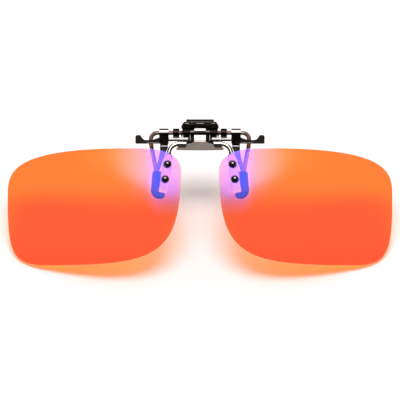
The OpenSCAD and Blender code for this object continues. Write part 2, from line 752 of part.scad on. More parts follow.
module lens_arm(left) {
    start = [ferrule_x + 0.2, arm_y, arm_z];
    steps = bend_steps([start, arm_corner, arm_end], [0, arm_bend, 0]);
    color("dimgray") side_of(left) difference() {
        union() {
            translate(start) rotate([0, 90, 0]) bent_wire(steps, arm_d) sphere(d = arm_d);
            intersection() {
                front_sheet(lens_cy - lens_r, 0) foot_outline();
                lens_shell(back_r - foot_t, back_r);
            }
        }
        rivet_holes();
    }
}

module foot_outline() {
    translate([rivet_x, rivet_z]) rotate(rivet_lean) {
        translate([0, foot_up - foot_w / 2]) circle(d = foot_w);
        translate([-foot_w / 2, foot_up - foot_len]) square([foot_w, foot_len - foot_w / 2]);
    }
}

// Points of a cubic curve from p to q with the pulls a and b at its ends
function curve(p, a, b, q) = [for (i = [0:QUARTER - 1]) let (t = i / QUARTER, u = 1 - t)
    p * u * u * u + (p + a) * 3 * u * u * t + (q + b) * 3 * u * t * t + q * t * t * t];
lens_outline = [for (c = LENS_CURVES) each [for (q = curve(c[0], c[1], c[2], c[3]))
    [lens_cx - q[0] * hw, lens_cz + q[1] * hh]]];

module lens(left) {
    color("darkorange", 0.75) side_of(left) difference() {
        intersection() {
            front_sheet(lens_cy - lens_r - past, 0) polygon(lens_outline);
            lens_shell(back_r, lens_r);
        }
        rivet_holes();
    }
}

module rivets(left) {
    cap_r = (rivet_head_d * rivet_head_d / 4 + rivet_head_h * rivet_head_h) / (2 * rivet_head_h);
    head_z = lens_t + fix_gap;
    tail_z = -foot_t - fix_gap - rivet_tail_h;
    color("#333333") side_of(left) for (q = rivet_at) at_rivet(q) {
        intersection() {
            translate([0, 0, head_z + rivet_head_h - cap_r]) sphere(r = cap_r);
            translate([0, 0, head_z]) cylinder(r = rivet_head_d, h = 2 * rivet_head_h);
        }
        translate([0, 0, tail_z]) cylinder(d = rivet_d, h = head_z - tail_z + 0.1);
        translate([0, 0, tail_z]) cylinder(d = rivet_tail_d, h = rivet_tail_h);
    }
}

echo(least_gap_between_spring_turns = turn_gap);

front_plate();
knuckle(true);  // knuckle_left
knuckle(false);  // knuckle_right
rest_bar(true);  // rest_bar_left
rest_bar(false);  // rest_bar_right
front_leg(true);  // front_leg_left
front_leg(false);  // front_leg_right
front_sleeve(true);  // front_sleeve_left
front_sleeve(false);  // front_sleeve_right
torsion_spring(true);  // torsion_spring_left
torsion_spring(false);  // torsion_spring_right
detent_leaves();
axle_wire();
rear_lever();
rear_sleeve(true);  // rear_sleeve_left
rear_sleeve(false);  // rear_sleeve_right
flip_bridge();
ferrule(true);  // ferrule_left
ferrule(false);  // ferrule_right
lens_arm(true);  // lens_arm_left
lens_arm(false);  // lens_arm_right
lens(true);  // lens_left
lens(false);  // lens_right
rivets(true);  // rivets_left
rivets(false);  // rivets_right
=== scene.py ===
import math

import bpy
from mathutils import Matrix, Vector


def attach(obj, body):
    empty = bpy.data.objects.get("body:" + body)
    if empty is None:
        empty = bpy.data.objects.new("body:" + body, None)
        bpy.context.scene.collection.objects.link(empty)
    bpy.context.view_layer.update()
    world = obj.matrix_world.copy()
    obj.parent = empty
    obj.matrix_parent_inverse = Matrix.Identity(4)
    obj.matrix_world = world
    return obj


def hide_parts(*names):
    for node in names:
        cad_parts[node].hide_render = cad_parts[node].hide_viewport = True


# Flip-up clip-on sun lenses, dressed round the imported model.
# Lengths are millimetres in the row frame: +X the wearer's left, -Y the front, +Z up.

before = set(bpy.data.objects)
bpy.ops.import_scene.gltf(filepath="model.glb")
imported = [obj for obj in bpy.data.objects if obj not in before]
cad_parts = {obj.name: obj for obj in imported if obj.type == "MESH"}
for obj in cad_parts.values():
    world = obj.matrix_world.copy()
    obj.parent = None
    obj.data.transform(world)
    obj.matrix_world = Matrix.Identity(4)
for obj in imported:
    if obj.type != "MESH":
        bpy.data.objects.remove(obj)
bpy.context.view_layer.update()

MM = 0.001

# Axle of both hinges, and the wire that is the axle and both rear legs
AXLE_Y, AXLE_Z = -3.0, 18.1
WIRE_R, AXLE_BEND, LEG_BEND = 0.725, 2.4, 1.8
# A leg comes straight down as far as LEG_TURN, and leans towards the nose below it
LEG_X, LEG_LEAN, LEG_TURN = 17.05, 0.2038, 13.5
# Seen from the side it goes back from the axle, down behind the rim and forward to its pad
NECK_UP, RIM_TOP, RIM_BACK, KNEE_UP, PAD_UP, PAD_BACK = 14.5, 12.0, 3.4, 7.6, 5.0, 1.5
NECK_BACK = AXLE_Y + (AXLE_Z - NECK_UP) * math.tan(math.radians(25))
# Its end is a hook, turned towards the nose
HOOK_R, HOOK_TURN, HOOK_Z, HOOK_LEAN, HOOK_TAIL = 1.5, 105, -1.9, 0.06, 0.3
REAR_SLEEVE_R, REAR_SLEEVE_TOP = 1.35, 4.4

# What sits on the axle: holes that turn on it or grip it, the eyes round it, and the knuckles
TURNING_HOLE, COLLAR_HOLE, EYE_R = 0.775, 0.74, 1.5
KNUCKLE_IN, KNUCKLE_OUT, KNUCKLE_FOOT = 10.9, 14.15, -3.75

# Lenses: the middle of each box, the half sizes and the spheres of front and back
LENS_X, LENS_Z = 36.6, -7.5
HALF_W, HALF_H = 30.0, 20.3
SPHERE_Y, FRONT_R, BACK_R = 191.98, 200.0, 198.9

# Rivets, and the foot of a lens arm behind them
RIVETS_MIDDLE, RIVET_PITCH, RIVET_LEAN = Vector((11.75, 0, 4.55)), 5.25, math.radians(8.7)
RIVETS_DOWN = Vector((math.sin(RIVET_LEAN), 0, -math.cos(RIVET_LEAN)))
FOOT_HALF, FOOT_T, FOOT_UP, FOOT_LEN = 1.63, 0.6, 5.9, 13.2
# Wire of a lens arm: level out of the ferrule to its bend, then down at a slope
ARM_R, ARM_BEND, ARM_SLOPE, ARM_START, ARM_TURN, ARM_NECK = 0.75, 3.4, 0.16, 4.9, 10.3, 11.9
ARM_Y, ARM_Z = AXLE_Y - 0.6, AXLE_Z - 3.86


# Outlines and paths

def along(a, b, share):
    return a + (b - a) * share


def arc(middle, radius, start, end, steps):
    """Points of an arc from start to end degrees."""
    angles = [math.radians(along(start, end, i / steps)) for i in range(steps + 1)]
    return [(middle[0] + radius * math.cos(a), middle[1] + radius * math.sin(a)) for a in angles]


def fillet(before, corner, after, radius, steps):
    """The corner of a path, drawn as an arc that is tangent to both sides."""
    before, corner, after = Vector(before), Vector(corner), Vector(after)
    back, ahead = (before - corner).normalized(), (after - corner).normalized()
    half = back.angle(ahead) / 2
    if radius <= 0 or half > math.radians(89.9):
        return [corner]
    middle = corner + (back + ahead).normalized() * radius / math.sin(half)
    cut = radius / math.tan(half)
    first, last = corner + back * cut - middle, corner + ahead * cut - middle
    turn = math.pi - 2 * half
    return [middle + (first * math.sin((1 - i / steps) * turn) + last * math.sin(i / steps * turn))
            / math.sin(turn) for i in range(steps + 1)]


def rounded(corners, steps=5):
    """A closed flat outline whose corners (x, y, radius) are rounded."""
    points = []
    for i, (x, y, radius) in enumerate(corners):
        before, after = corners[i - 1], corners[(i + 1) % len(corners)]
        turned = fillet((*before[:2], 0), (x, y, 0), (*after[:2], 0), radius, steps)
        points += [(p.x, p.y) for p in turned]
    return points


def bent(corners, radii, steps=8):
    """The middle line of a wire bent at its corners, as points."""
    points = [Vector(corners[0])]
    for i in range(1, len(corners) - 1):
        points += fillet(corners[i - 1], corners[i], corners[i + 1], radii[i - 1], steps)
    return points + [Vector(corners[-1])]


def mirrored(half):
    """A whole outline from its right half, whose corners run from the middle outwards."""
    return half + [(-x, z, r) for x, z, r in reversed(half)]


def at_axle(x, y, z):
    return x, AXLE_Y + y, AXLE_Z + z


# Modelling

def select_only(*pieces):
    bpy.ops.object.select_all(action="DESELECT")
    for piece in pieces:
        piece.select_set(True)
    bpy.context.view_layer.objects.active = pieces[0]


def edit_all(piece, *operations):
    """Runs operators on the whole mesh in edit mode."""
    select_only(piece)
    bpy.ops.object.mode_set(mode="EDIT")
    bpy.ops.mesh.select_mode(type="VERT")
    for operation in operations:
        bpy.ops.mesh.select_all(action="SELECT")
        operation()
    bpy.ops.object.mode_set(mode="OBJECT")


def skin(rings):
    """A closed form drawn out from ring to ring by extruding, with as many points in each."""
    bpy.ops.object.select_all(action="DESELECT")
    bpy.ops.mesh.primitive_circle_add(vertices=len(rings[0]), radius=MM, fill_type="NOTHING")
    piece = bpy.context.object
    bpy.ops.object.mode_set(mode="EDIT")
    bpy.ops.mesh.select_all(action="SELECT")
    for _ in rings[1:]:
        bpy.ops.mesh.extrude_region_move()
    bpy.ops.object.mode_set(mode="OBJECT")
    places = [point for ring in rings for point in ring]
    for vertex, place in zip(piece.data.vertices, places):
        vertex.co = Vector(place) * MM
    close_up(piece)
    return piece


def close_up(piece):
    """Merges poles and seams, fills open ends and turns the faces outwards."""
    edit_all(
        piece,
        lambda: bpy.ops.mesh.remove_doubles(threshold=0.002 * MM),
        lambda: bpy.ops.mesh.fill_holes(sides=0),
        lambda: bpy.ops.mesh.delete_loose(),
        lambda: bpy.ops.mesh.normals_make_consistent(inside=False))


def front_sheet(outline, near, far):
    """A sheet cut to an outline in the front view, from near to far behind the axle."""
    return skin([[at_axle(x, y, z) for x, z in outline] for y in (near, far)])


def side_sheet(outline, start, end):
    """A form cut to an outline in the side view, drawn out across the clip."""
    return skin([[at_axle(x, y, z) for y, z in outline] for x in (start, end)])


def turned_on_axle(profile, drop=(0, 0), sides=48):
    """A form turned about a line along the axle, from a profile of place and radius."""
    turns = [math.radians(360 * i / sides) for i in range(sides)]
    return skin([[at_axle(x, drop[0] + r * math.cos(t), drop[1] + r * math.sin(t)) for t in turns]
                 for x, r in profile])


def bored(piece, start, end, radius):
    """A piece with a hole along the axle."""
    drill = turned_on_axle([(start, 0), (start, radius), (end, radius), (end, 0)])
    return combine(piece, drill, "DIFFERENCE")


def section(middle, across, through, corner, steps=4):
    """One ring: a rectangle with half sides across and through, and rounded corners."""
    a, b = across.length, through.length
    u, v = across.normalized(), through.normalized()
    corner = min(corner, a, b)
    ring = []
    for quarter, (sx, sy) in enumerate(((1, 1), (-1, 1), (-1, -1), (1, -1))):
        for x, y in arc((sx * (a - corner), sy * (b - corner)), corner,
                        quarter * 90, quarter * 90 + 90, steps):
            ring.append(middle + u * x + v * y)
    return ring


def headings(path):
    """The direction of a path at each of its points."""
    last = len(path) - 1
    return [(path[min(i + 1, last)] - path[max(i - 1, 0)]).normalized() for i in range(last + 1)]


def round_rings(path, radii, sides=20):
    """Round rings square to a path, which don't twist along it."""
    # The side is tilted a trace, so that no path here starts along it
    side = Vector((0, 1, 0.001))
    turns = [math.radians(360 * i / sides) for i in range(sides)]
    rings = []
    for middle, heading, radius in zip(path, headings(path), radii):
        side = (side - heading * side.dot(heading)).normalized()
        up = heading.cross(side)
        rings.append([middle + (side * math.cos(t) + up * math.sin(t)) * radius for t in turns])
    return rings


def combine(piece, tool, operation):
    """Joins, cuts or crosses a piece with a tool, which is used up."""
    select_only(piece)
    bpy.ops.object.modifier_add(type="BOOLEAN")
    change = piece.modifiers[-1]
    change.operation, change.object, change.solver = operation, tool, "EXACT"
    bpy.ops.object.modifier_apply(modifier=change.name)
    select_only(tool)
    bpy.ops.object.delete()
    return piece


def soften(piece, width, segments=3, angle=30):
    """Rounds every edge sharper than an angle, as tumbling and polishing do."""
    select_only(piece)
    bpy.ops.object.modifier_add(type="BEVEL")
    change = piece.modifiers[-1]
    change.width, change.segments = width * MM, segments
    change.limit_method, change.angle_limit = "ANGLE", math.radians(angle)
    change.miter_outer = "MITER_ARC"
    bpy.ops.object.modifier_apply(modifier=change.name)
    return piece


def join(*pieces):
    select_only(*pieces)
    bpy.ops.object.join()
    return pieces[0]


def mirror_copy(piece):
    """A copy on the other side, with its own mesh."""
    select_only(piece)
    bpy.ops.object.duplicate()
    copy = bpy.context.object
    for vertex in copy.data.vertices:
        vertex.co.x = -vertex.co.x
    edit_all(copy, lambda: bpy.ops.mesh.flip_normals())
    return copy


def dress(piece, name, body, material, nodes, smooth=35):
    """Names a finished piece, gives it its finish and puts it on its body."""
    piece.name = name
    piece.data.name = name
    piece.data.materials.clear()
    piece.data.materials.append(material)
    select_only(piece)
    bpy.ops.object.shade_smooth_by_angle(angle=math.radians(smooth))
    # Flat faces stay flat up to their rounded edges
    bpy.ops.object.modifier_add(type="WEIGHTED_NORMAL")
    piece.modifiers[-1].keep_sharp = True
    bpy.ops.object.modifier_apply(modifier=piece.modifiers[-1].name)
    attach(piece, body)
    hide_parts(*nodes)


def second_finish(piece, material, chosen):
    """Gives the faces whose middles are chosen another finish."""
    piece.data.materials.append(material)
    for face in piece.data.polygons:
        if chosen(face.center / MM):
            face.material_index = 1


def dress_pair(left, name, body, material, node, smooth=35, one_node=False):
    """Dresses the left piece and its mirror image, which stand for two nodes or for one."""
    right = mirror_copy(left)
    for piece, side in ((left, "_left"), (right, "_right")):
        dress(piece, name + side, body, material, [node if one_node else node + side], smooth)
    return left, right


# Finishes

def rgb(text):
    """A colour written as sRGB hex, as linear red, green, blue and alpha."""
    parts = [int(text[i:i + 2], 16) / 255 for i in (1, 3, 5)]
    return [p / 12.92 if p <= 0.04045 else ((p + 0.055) / 1.055) ** 2.4 for p in parts] + [1.0]


def level(share):
    """A share from 0 to 1 as a stop of a ramp."""
    return share, share, share, 1


def add(tree, kind, inputs=None, stops=None, **settings):
    """Adds a node with its settings, its inputs as values or links, and the stops of a colour
    ramp as place and colour."""
    made = tree.nodes.new(kind)
    for key, value in settings.items():
        setattr(made, key, value)
    for key, value in (inputs or {}).items():
        if isinstance(value, bpy.types.NodeSocket):
            tree.links.new(value, made.inputs[key])
        else:
            made.inputs[key].default_value = value
    if stops:
        elements = made.color_ramp.elements
        while len(elements) < len(stops):
            elements.new(0.5)
        for element, (place, colour) in zip(elements, stops):
            element.position, element.color = place, colour
    return made


def new_material(name):
    made = bpy.data.materials.new(name)
    made.use_nodes = True
    made.node_tree.nodes.clear()
    return made, made.node_tree


def per_mm(size):
    """Scale of a pattern on Object coordinates for one feature each size millimetres."""
    return 1 / (size * MM)


def metal(name, base, worn, rough, stretch=(1, 1, 1), grain=0.5, bump=0.02, bare=1.0, shine=0.5,
          tone_steps_with_painted_light=None):
    """Polished or satin metal: two close tones in soft clouds 2.2 mm wide, fine marks along the
    polish, and a trace of relief from them. Lacquer makes it less than bare. A ramp by the distance
    from the middle of the clip multiplies its colour: the wires' brown lacquered tone, and painted
    light and shade where it turns lighter or darker along them."""
    made, tree = new_material(name)
    where = add(tree, "ShaderNodeTexCoord").outputs["Object"]
    clouds = add(tree, "ShaderNodeTexNoise",
                 {"Vector": where, "Scale": per_mm(2.2), "Detail": 2.0}).outputs["Fac"]
    drawn = add(tree, "ShaderNodeMapping", {"Vector": where, "Scale": stretch}).outputs["Vector"]
    marks = add(tree, "ShaderNodeTexNoise",
                {"Vector": drawn, "Scale": per_mm(grain), "Detail": 4.0}).outputs["Fac"]
    colour = add(tree, "ShaderNodeValToRGB", {"Fac": clouds},
                 stops=[(0.35, rgb(base)), (0.7, rgb(worn))]).outputs["Color"]
    if tone_steps_with_painted_light:
        x = add(tree, "ShaderNodeSeparateXYZ", {"Vector": where}).outputs["X"]
        far = add(tree, "ShaderNodeMath", {0: x}, operation="ABSOLUTE").outputs[0]
        span = tone_steps_with_painted_light[-1][0]
        share = add(tree, "ShaderNodeMath", {0: far, 1: span * MM}, operation="DIVIDE").outputs[0]
        tone_with_painted_light = add(tree, "ShaderNodeValToRGB", {"Fac": share},
                      stops=[(place / span, rgb(tint)) for place, tint in tone_steps_with_painted_light]).outputs["Color"]
        colour = add(tree, "ShaderNodeMix", {"Factor": 1.0, "A": colour, "B": tone_with_painted_light},
                     data_type="RGBA", blend_type="MULTIPLY").outputs["Result"]
    gloss = add(tree, "ShaderNodeMapRange",
                {"Value": marks, "From Min": 0.3, "From Max": 0.7,
                 "To Min": rough * 0.8, "To Max": rough * 1.35}).outputs["Result"]
    relief = add(tree, "ShaderNodeBump",
                 {"Height": marks, "Strength": bump, "Distance": 0.02 * MM}).outputs["Normal"]
    shader = add(tree, "ShaderNodeBsdfPrincipled",
                 {"Base Color": colour, "Metallic": bare, "Roughness": gloss,
                  "Specular IOR Level": shine, "Normal": relief})
    add(tree, "ShaderNodeOutputMaterial", {"Surface": shader.outputs["BSDF"]})
    return made


# Black nickel on stamped steel: nearly black, with studio highlights on every fold
black_nickel = metal("black_nickel_plated_steel", "#59524d", "#6a625c", 0.16)
# Lighter black nickel, polished like a mirror, on the knuckles' eyes over the axle: the blocks
# below keep the darker black nickel, so the lighter eye is a painted highlight
polished_black = metal("polished_black_nickel", "#a8a4a2", "#b3afad", 0.09)
# The same on the flat legs, one shade darker
leg_black = metal("polished_black_nickel_strip", "#837d7a", "#8e8884", 0.11)
# Full black nickel on the rivets
deep_black = metal("deep_black_nickel", "#5c595a", "#656263", 0.08)
# Black nickel wire, brown lacquered. Near black between the springs: painted shade under the
# tab's shelf. Outwards, its lighter and darker bands are painted light and shade
brown_wire = metal("brown_lacquered_wire_painted_light_and_shade", "#fdf8f5", "#e4d5ce", 0.13, bare=0.4, shine=0.1,
                   tone_steps_with_painted_light=[(6.2, "#110f0f"), (7.4, "#8c7c75"), (10.9, "#7a6e68"),
                          (14.2, "#a0908a"), (16.0, "#847672"), (16.8, "#c4948a")])
# The wire's legs, below the rest bars: a lighter brown than the axle as painted light, lightest
# near their tops
leg_wire = metal("nickel_wire_legs_painted_light", "#fdf8f5", "#e4d5ce", 0.13, bare=0.4, shine=0.1,
                 tone_steps_with_painted_light=[(16.4, "#c8a49c"), (17.0, "#ffffff")])
# The rear lever's collars on the wire, darker and redder
collar_black = metal("red_black_nickel_collar", "#2a1c19", "#211613", 0.2)
# Gunmetal plate, brushed from side to side: grey brown and soft in the light
gunmetal = metal("brushed_gunmetal", "#978a81", "#a2968d", 0.36, stretch=(0.08, 1, 1), grain=0.16,
                 bump=0.15)
# Bright nickel tube, polished. On the strip crowns its brightness is a painted highlight
bright_nickel = metal("polished_bright_nickel", "#dcd9d5", "#d0ccc7", 0.12)
# Bright nickel wire, drawn: softer along its length
drawn_nickel = metal("drawn_bright_nickel_wire", "#efece8", "#e6e3de", 0.15, grain=0.3)
# Oil blackened steel of the springs and the rear lever, with drawing marks. On the hinge ears,
# their gussets and the strip crowns' lower faces it is painted shade
oil_black = metal("oil_blackened_steel", "#34312e", "#46423e", 0.2, grain=0.2)


def silicone_rubber():
    """Black silicone sleeve: moulded, with a soft wide sheen and a fine matt grain."""
    made, tree = new_material("black_silicone_rubber")
    where = add(tree, "ShaderNodeTexCoord").outputs["Object"]
    grain = add(tree, "ShaderNodeTexNoise",
                {"Vector": where, "Scale": per_mm(0.12), "Detail": 3.0}).outputs["Fac"]
    cloud = add(tree, "ShaderNodeTexNoise", {"Vector": where, "Scale": per_mm(3.0)}).outputs["Fac"]
    colour = add(tree, "ShaderNodeValToRGB", {"Fac": cloud},
                 stops=[(0.35, rgb("#141416")), (0.7, rgb("#1c1c20"))]).outputs["Color"]
    gloss = add(tree, "ShaderNodeMapRange",
                {"Value": grain, "To Min": 0.6, "To Max": 0.78}).outputs["Result"]
    relief = add(tree, "ShaderNodeBump",
                 {"Height": grain, "Strength": 0.25, "Distance": 0.01 * MM}).outputs["Normal"]
    shader = add(tree, "ShaderNodeBsdfPrincipled",
                 {"Base Color": colour, "Roughness": gloss, "Normal": relief, "IOR": 1.41,
                  "Specular IOR Level": 0.2})
    add(tree, "ShaderNodeOutputMaterial", {"Surface": shader.outputs["BSDF"]})
    return made


# Mirror coat of the left lens, in mm outwards from the middle of the clip: its colour, and how
# much of COAT_RISE its lower limit has risen. Then how strong it is by the height over that limit
COAT_COLOURS = [(6.8, "#3f61da"), (9.5, "#193ff7"), (14.5, "#193ff7"), (17.3, "#304be5"),
                (19, "#455dbc"), (22.5, "#59619b"), (26, "#595d76"), (29.5, "#504d48"),
                (33, "#3f3822"), (44, "#000000")]
COAT_RISES = [(5, 0), (15.5, 0), (19, 0.36), (22.5, 0.5), (26, 0.72), (30, 0.9), (33, 1)]
COAT_STRENGTHS = [(-11, 0), (-9, 0.05), (-7, 0.14), (-5.2, 0.3), (-3.5, 0.62), (-1.7, 0.86),
                  (1, 1)]
COAT_RISE, COAT_IN, COAT_OUT, COAT_LOW, COAT_HIGH = 10, 5, 45, -11, 2


def mirror_coat(tree, place):
    """What the coat reflects: violet by the nose at the top, thinning to a pale pink, and nothing
    from the middle of the lens on."""
    across = add(tree, "ShaderNodeMath", {0: place["X"]}, operation="ABSOLUTE").outputs[0]
    outwards = add(tree, "ShaderNodeMapRange", {"Value": across, "From Min": COAT_IN * MM,
                                                "From Max": COAT_OUT * MM}).outputs[0]
    wide, tall = COAT_OUT - COAT_IN, COAT_HIGH - COAT_LOW
    flash = add(tree, "ShaderNodeValToRGB", {"Fac": outwards},
                stops=[((x - COAT_IN) / wide, rgb(c)) for x, c in COAT_COLOURS]).outputs["Color"]
    rise = add(tree, "ShaderNodeValToRGB", {"Fac": outwards},
               stops=[((x - COAT_IN) / wide, level(r)) for x, r in COAT_RISES]).outputs["Color"]
    height = add(tree, "ShaderNodeMath", {0: rise, 1: -COAT_RISE * MM, 2: place["Z"]},
                 operation="MULTIPLY_ADD").outputs[0]
    upwards = add(tree, "ShaderNodeMapRange", {"Value": height, "From Min": COAT_LOW * MM,
                                               "From Max": COAT_HIGH * MM}).outputs[0]
    strength = add(tree, "ShaderNodeValToRGB", {"Fac": upwards},
                   stops=[((z - COAT_LOW) / tall, level(k)) for z, k in COAT_STRENGTHS])
    return add(tree, "ShaderNodeVectorMath", {0: flash, 1: strength.outputs["Color"]},
               operation="MULTIPLY").outputs[0]


def lens_orange(tree, place, coat, rays):
    """Tone of the cast lens: a trace deeper low on it, which is painted shade, and lighter under
    the coat.
    """
    low, high = -6, 5
    upwards = add(tree, "ShaderNodeMapRange",
                  {"Value": place["Z"], "From Min": low * MM, "From Max": high * MM}).outputs[0]
    orange = add(tree, "ShaderNodeValToRGB", {"Fac": upwards},
                 stops=[(0.0, rgb("#ff710a")), (1.0, rgb("#ff750d"))]).outputs["Color"]
    blue = add(tree, "ShaderNodeSeparateXYZ", {"Vector": coat}).outputs["Z"]
    tone = add(tree, "ShaderNodeMix", {"Factor": blue, "A": orange, "B": rgb("#ffa430")},
               data_type="RGBA").outputs["Result"]
    # A reflection that leaves through the lens again isn't tinted twice
    again = add(tree, "ShaderNodeMath", {0: rays["Transmission Depth"], 1: 1.5},
                operation="GREATER_THAN").outputs[0]
    tone = add(tree, "ShaderNodeMix", {"Factor": again, "A": tone, "B": rgb("#ffffff")},
               data_type="RGBA").outputs["Result"]
    # Light from the room that reaches the board through the lens is deeper than what is seen
    matt = add(tree, "ShaderNodeMath", {0: rays["Diffuse Depth"], 1: 0.5},
               operation="GREATER_THAN").outputs[0]
    return add(tree, "ShaderNodeMix", {"Factor": matt, "A": tone, "B": rgb("#e17c19")},
               data_type="RGBA").outputs["Result"]


def tinted_lens():
    """Cast orange lens with a vacuum mirror coat, which is on its front face only."""
    made, tree = new_material("orange_lens_violet_mirror_coat")
    where = add(tree, "ShaderNodeTexCoord").outputs
    place = add(tree, "ShaderNodeSeparateXYZ", {"Vector": where["Object"]}).outputs
    rays = add(tree, "ShaderNodeLightPath").outputs
    coat = mirror_coat(tree, place)
    glass = add(tree, "ShaderNodeBsdfPrincipled",
                {"Base Color": lens_orange(tree, place, coat, rays), "Roughness": 0.0, "IOR": 1.5,
                 "Transmission Weight": 1.0})
    mirror = add(tree, "ShaderNodeBsdfAnisotropic", {"Color": coat, "Roughness": 0.0})
    uncoated = add(tree, "ShaderNodeBsdfAnisotropic", {"Color": rgb("#000000"), "Roughness": 0.0})
    facing = add(tree, "ShaderNodeSeparateXYZ", {"Vector": where["Normal"]}).outputs["Y"]
    front = add(tree, "ShaderNodeMath", {0: facing, 1: -0.5}, operation="LESS_THAN").outputs[0]
    film = add(tree, "ShaderNodeMixShader",
               {0: front, 1: uncoated.outputs["BSDF"], 2: mirror.outputs["BSDF"]})
    both = add(tree, "ShaderNodeAddShader", {0: glass.outputs["BSDF"], 1: film.outputs["Shader"]})
    # Rays from lamps pass straight through both faces, tinted, so the lens casts orange light
    cast = add(tree, "ShaderNodeBsdfTransparent", {"Color": rgb("#ff9e35")})
    surface = add(tree, "ShaderNodeMixShader",
                  {0: rays["Is Shadow Ray"], 1: both.outputs["Shader"], 2: cast.outputs["BSDF"]})
    add(tree, "ShaderNodeOutputMaterial", {"Surface": surface.outputs["Shader"]})
    return made


rubber = silicone_rubber()
lens_finish = tinted_lens()


# Lenses

def lens_outline(steps=36):
    """The lens outline about the middle of its box, nasal side positive: four cubic curves
    between crest, nose, keel and temple."""
    crest, nose = Vector((HALF_W * 0.467, HALF_H)), Vector((HALF_W, HALF_H * 0.616))
    keel, temple = Vector((-HALF_W * 0.567, -HALF_H)), Vector((-HALF_W, HALF_H * 0.222))
    quarters = [
        (crest, (HALF_W * 0.2, 0), (0, HALF_H * 0.345), nose),
        (nose, (0, -HALF_H * 1.5), (HALF_W * 1.25, 0), keel),
        (keel, (-HALF_W * 0.417, 0), (0, -HALF_H * 0.926), temple),
        (temple, (0, HALF_H * 0.42), (-HALF_W * 1.367, 0), crest)]
    points = []
    for start, leave, arrive, end in quarters:
        for i in range(steps):
            t = i / steps
            u = 1 - t
            points.append(start * u ** 3 + (start + Vector(leave)) * 3 * u * u * t
                          + (end + Vector(arrive)) * 3 * u * t * t + end * t ** 3)
    return points


def sphere_y(x, z, radius):
    """Place of a lens face in depth, under the row frame's x and z on the left lens."""
    return SPHERE_Y - math.sqrt(radius ** 2 - (x - LENS_X) ** 2 - (z - LENS_Z) ** 2)


def make_lenses():
    """A thin bowl between two spheres, with both edges chamfered."""
    outline = lens_outline()
    chamfer = 0.16

    def ring(share, radius, inwards=0.0, shift=0.0):
        points = []
        for p in outline:
            q = p * share - p.normalized() * inwards
            x, z = LENS_X - q.x, LENS_Z + q.y
            points.append((x, sphere_y(x, z, radius) + shift, z))
        return points

    shares = [0.0, 0.08, 0.2, 0.34, 0.48, 0.61, 0.73, 0.84, 0.93]
    rings = [ring(s, FRONT_R) for s in shares]
    rings += [ring(1, FRONT_R, chamfer), ring(1, FRONT_R, chamfer * 0.3, chamfer * 0.3),
              ring(1, FRONT_R, 0, chamfer), ring(1, BACK_R, 0, -chamfer),
              ring(1, BACK_R, chamfer * 0.3, -chamfer * 0.3), ring(1, BACK_R, chamfer)]
    rings += [ring(s, BACK_R) for s in reversed(shares)]
    dress_pair(skin(rings), "lens_shell", "flip_unit", lens_finish, "lens")


# Rivets and lens arms

def lens_normal(x, z):
    """Direction out of the front of the left lens."""
    face = Vector((x, sphere_y(x, z, BACK_R), z))
    return (face - Vector((LENS_X, SPHERE_Y, LENS_Z))).normalized()


def turned_on_lens(x, z, profile, sides=32):
    """A form turned about the lens normal, from a profile of height over the back face
    and radius."""
    out = lens_normal(x, z)
    side = out.cross(Vector((0, 0, 1))).normalized()
    up = side.cross(out)
    foot = Vector((x, sphere_y(x, z, BACK_R), z))
    turns = [math.radians(360 * i / sides) for i in range(sides)]
    return skin([[foot + out * h + (side * math.cos(t) + up * math.sin(t)) * r for t in turns]
                 for h, r in profile])


def make_rivets():
    """Domed head on a seat in front of the lens, and a flat tail behind the arm's foot."""
    head_r, head_h, seat, shank, tail_r, tail = 1.37, 0.98, 1.12, 0.6, 0.95, -FOOT_T - 0.02
    cap_r = (head_r ** 2 + head_h ** 2) / (2 * head_h)
    widest, steps = math.asin(head_r / cap_r), 12
    dome = []
    for i in range(steps):
        turn = widest * i / steps
        dome.append((seat + head_h - cap_r * (1 - math.cos(turn)), cap_r * math.sin(turn)))
    profile = dome + [(seat + 0.1, head_r - 0.015), (seat + 0.03, head_r - 0.02),
                      (seat, head_r - 0.08), (seat, shank), (tail, shank), (tail, tail_r - 0.04),
                      (tail - 0.06, tail_r), (tail - 0.24, tail_r), (tail - 0.33, tail_r - 0.1),
                      (tail - 0.35, tail_r - 0.3), (tail - 0.29, 0.3), (tail - 0.27, 0)]
    places = [RIVETS_MIDDLE + RIVETS_DOWN * s * RIVET_PITCH / 2 for s in (-1, 1)]
    pair = join(*[turned_on_lens(p.x, p.z, profile) for p in places])
    dress_pair(pair, "dome_rivets", "flip_unit", deep_black, "rivets", smooth=50)


